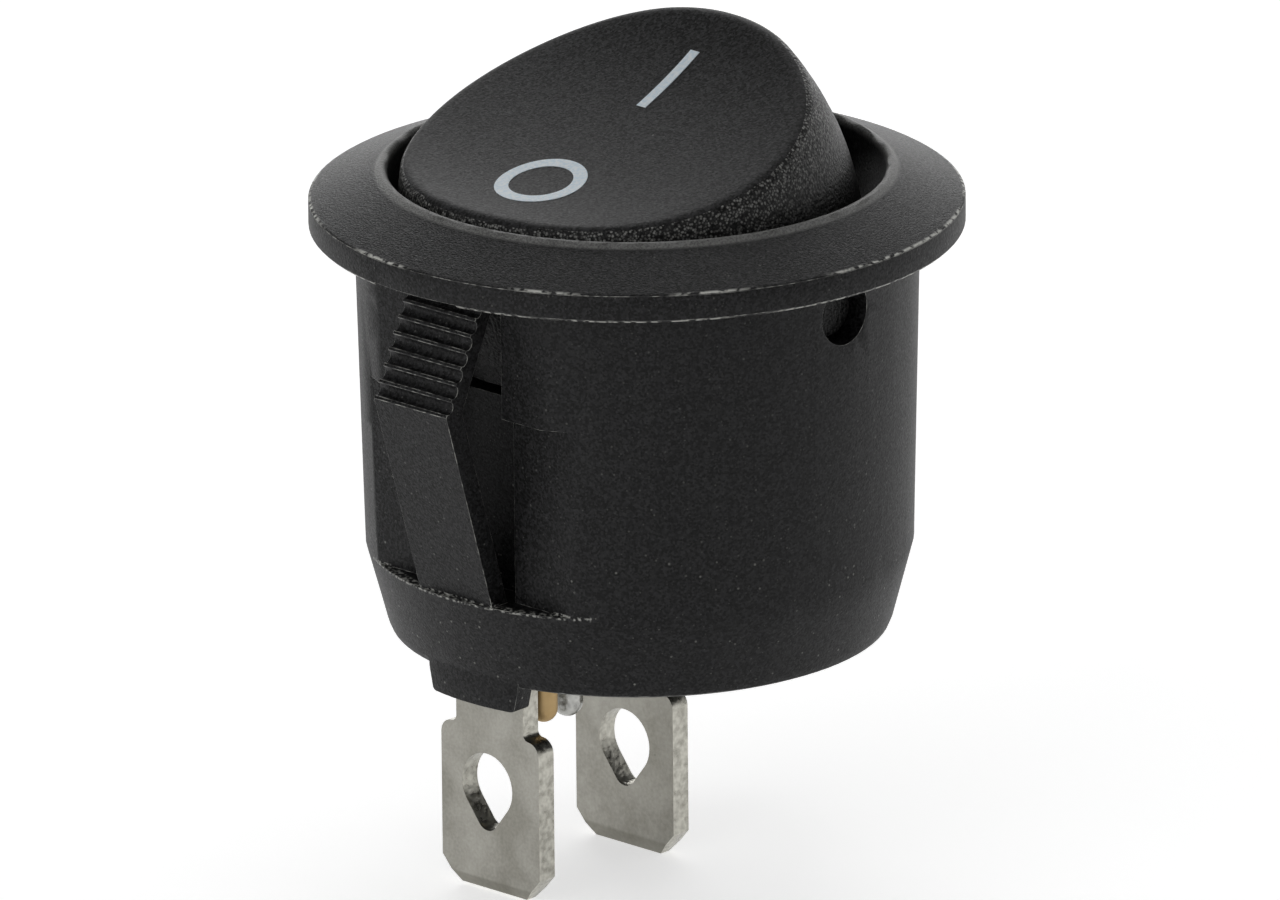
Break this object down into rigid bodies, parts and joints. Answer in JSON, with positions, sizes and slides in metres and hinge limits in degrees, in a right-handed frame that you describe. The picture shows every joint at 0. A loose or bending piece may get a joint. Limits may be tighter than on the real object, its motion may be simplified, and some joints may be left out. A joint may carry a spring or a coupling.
{
  "type": "panel rocker switch",
  "caption": "Round snap-in panel rocker switch: flanged black housing with two snap arms, dished rocker, see-saw contact lever and blade terminals.",
  "frame": {"origin": "centre of the flange's underside, on the panel's front face", "axes": "+Z out of the panel towards the finger, -X towards the rocker's O end, +X towards its I end, Y along the rocker's pivot"},
  "size_m": [0.0232, 0.023, 0.0296],
  "materials": {
    "housing": "spark-textured moulded nylon",
    "rocker": "fine matte moulded nylon",
    "plunger": "natural moulded acetal",
    "plunger_spring": "drawn spring wire",
    "contact_lever": "stamped copper strip",
    "lever_contact": "silver alloy rivet",
    "common_terminal": "stamped brass, tin plated",
    "load_terminal": "stamped brass, tin plated",
    "load_contact": "silver alloy rivet",
    "load_rivet": "drawn brass, unplated"
  },
  "bodies": {
    "base": {"housing": "housing", "common_terminal": "common_terminal", "load_terminal": "load_terminal", "load_contact": "load_contact", "load_rivet": "load_rivet"},
    "rocker": {"rocker": "rocker", "plunger_spring": "plunger_spring"},
    "plunger": {"plunger": "plunger"},
    "lever": {"contact_lever": "contact_lever", "lever_contact": "lever_contact"}
  },
  "joints": [
    {"name": "rocker_tilt", "type": "hinge", "parent": "base", "child": "rocker", "pos_m": [0, 0, -0.00125], "axis": [0, 1, 0], "range_deg": [0, 36]},
    {"name": "plunger_slide", "type": "slide", "parent": "rocker", "child": "plunger", "axis": [-0.309, 0, 0.9511], "range_m": [-0.0008, 0.0008], "stiffness_N_per_m": 200, "deforming": ["plunger_spring"]},
    {"name": "lever_rock", "type": "hinge", "parent": "base", "child": "lever", "pos_m": [0, 0, -0.01047], "axis": [0, 1, 0], "range_deg": [-16, 0]}
  ],
  "couplings": [
    {"joint": "lever_rock", "follows": "rocker_tilt", "ratio": -0.44444}
  ]
}
